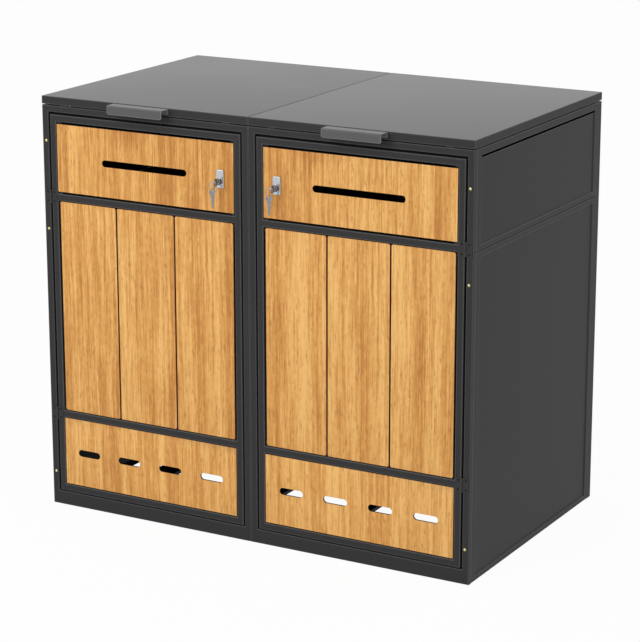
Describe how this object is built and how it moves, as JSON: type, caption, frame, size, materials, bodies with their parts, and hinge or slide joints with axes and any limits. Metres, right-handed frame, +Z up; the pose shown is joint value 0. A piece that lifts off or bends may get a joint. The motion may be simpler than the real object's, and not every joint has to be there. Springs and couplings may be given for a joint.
{
  "type": "wheelie bin store",
  "caption": "Double wheelie bin store of dark steel sheet with rear-hinged lids and wood-filled doors that carry letter and vent slots and key locks.",
  "frame": {"origin": "on the ground, midway between the two sides and midway between the handles' fronts and the rear hinges' backs", "axes": "+X to the right seen from the front, +Y from the doors to the rear, +Z up"},
  "size_m": [1.32, 0.8554, 1.18],
  "materials": {
    "frame_coat": "satin powder coat",
    "panel_coat": "satin powder coat",
    "lid_coat": "satin powder coat",
    "handle_coat": "satin powder coat",
    "hinge_coat": "satin",
    "hinge_pin": "satin",
    "zinc": "satin",
    "brass": "polished",
    "rubber": "matte",
    "chrome": "polished",
    "key_steel": "polished",
    "wood": "oiled, upright grain"
  },
  "bodies": {
    "cabinet": {"front_frame_left": "frame_coat", "rear_frame_left": "frame_coat", "side_panel_lower_left": "panel_coat", "side_panel_upper_left": "panel_coat", "rear_panel_lower_left": "panel_coat", "rear_panel_upper_left": "panel_coat", "front_frame_right": "frame_coat", "rear_frame_right": "frame_coat", "side_panel_lower_right": "panel_coat", "side_panel_upper_right": "panel_coat", "rear_panel_lower_right": "panel_coat", "rear_panel_upper_right": "panel_coat", "centre_gutter_rail": "panel_coat", "floor_ties": "panel_coat", "unit_joining_bolts": "zinc", "front_frame_rivets": "brass", "door_buffers": "rubber", "lid_buffers": "rubber", "door_hinge_frame_leaves": "hinge_coat", "door_hinge_pins": "hinge_pin", "lid_hinge_frame_leaves": "hinge_coat", "lid_hinge_pins": "hinge_pin"},
    "left_door": {"door_frame_left": "frame_coat", "letter_panel_left": "wood", "door_board_left_1": "wood", "door_board_left_2": "wood", "door_board_left_3": "wood", "vent_panel_left": "wood", "door_hinge_leaves_left": "hinge_coat", "lock_body_left": "chrome"},
    "left_key": {"lock_plug_left": "chrome", "key_left": "key_steel"},
    "left_bolt": {"lock_bolt_left": "zinc"},
    "left_key_ring": {"key_ring_left": "key_steel", "spare_key_left": "key_steel"},
    "left_lid": {"lid_left": "lid_coat", "lid_stiffener_left": "panel_coat", "lid_handle_left": "handle_coat", "lid_hinge_leaves_left": "hinge_coat"},
    "right_door": {"door_frame_right": "frame_coat", "letter_panel_right": "wood", "door_board_right_1": "wood", "door_board_right_2": "wood", "door_board_right_3": "wood", "vent_panel_right": "wood", "door_hinge_leaves_right": "hinge_coat", "lock_body_right": "chrome"},
    "right_key": {"lock_plug_right": "chrome", "key_right": "key_steel"},
    "right_bolt": {"lock_bolt_right": "zinc"},
    "right_key_ring": {"key_ring_right": "key_steel", "spare_key_right": "key_steel"},
    "right_lid": {"lid_right": "lid_coat", "lid_stiffener_right": "panel_coat", "lid_handle_right": "handle_coat", "lid_hinge_leaves_right": "hinge_coat"}
  },
  "joints": [
    {"name": "left_door_swing", "type": "hinge", "parent": "cabinet", "child": "left_door", "pos_m": [-0.637, -0.39375, 0.58625], "axis": [0, 0, -1], "range_deg": [0, 170]},
    {"name": "left_lid_lift", "type": "hinge", "parent": "cabinet", "child": "left_lid", "pos_m": [-0.33, 0.41175, 1.1565], "axis": [-1, 0, 0], "range_deg": [0, 100]},
    {"name": "left_key_turn", "type": "hinge", "parent": "left_door", "child": "left_key", "pos_m": [-0.087, -0.39175, 0.9995], "axis": [0, 1, 0], "range_deg": [0, 90]},
    {"name": "left_bolt_slide", "type": "slide", "parent": "left_door", "child": "left_bolt", "axis": [1, 0, 0], "range_m": [0, 0.012]},
    {"name": "left_key_ring_swing", "type": "hinge", "parent": "left_key", "child": "left_key_ring", "pos_m": [-0.087, -0.41985, 0.9995], "axis": [0, -1, 0], "range_deg": [0, 90]},
    {"name": "right_door_swing", "type": "hinge", "parent": "cabinet", "child": "right_door", "pos_m": [0.637, -0.39375, 0.58625], "axis": [0, 0, 1], "range_deg": [0, 170]},
    {"name": "right_lid_lift", "type": "hinge", "parent": "cabinet", "child": "right_lid", "pos_m": [0.33, 0.41175, 1.1565], "axis": [-1, 0, 0], "range_deg": [0, 100]},
    {"name": "right_key_turn", "type": "hinge", "parent": "right_door", "child": "right_key", "pos_m": [0.087, -0.39175, 0.9995], "axis": [0, 1, 0], "range_deg": [0, 90]},
    {"name": "right_bolt_slide", "type": "slide", "parent": "right_door", "child": "right_bolt", "axis": [-1, 0, 0], "range_m": [0, 0.012]},
    {"name": "right_key_ring_swing", "type": "hinge", "parent": "right_key", "child": "right_key_ring", "pos_m": [0.087, -0.41985, 0.9995], "axis": [0, -1, 0], "range_deg": [0, 90]}
  ],
  "couplings": [
    {"joint": "left_bolt_slide", "follows": "left_key_turn", "m_per_rad": 0.0076394},
    {"joint": "left_key_ring_swing", "follows": "left_key_turn", "ratio": 1},
    {"joint": "right_bolt_slide", "follows": "right_key_turn", "m_per_rad": 0.0076394},
    {"joint": "right_key_ring_swing", "follows": "right_key_turn", "ratio": 1}
  ]
}
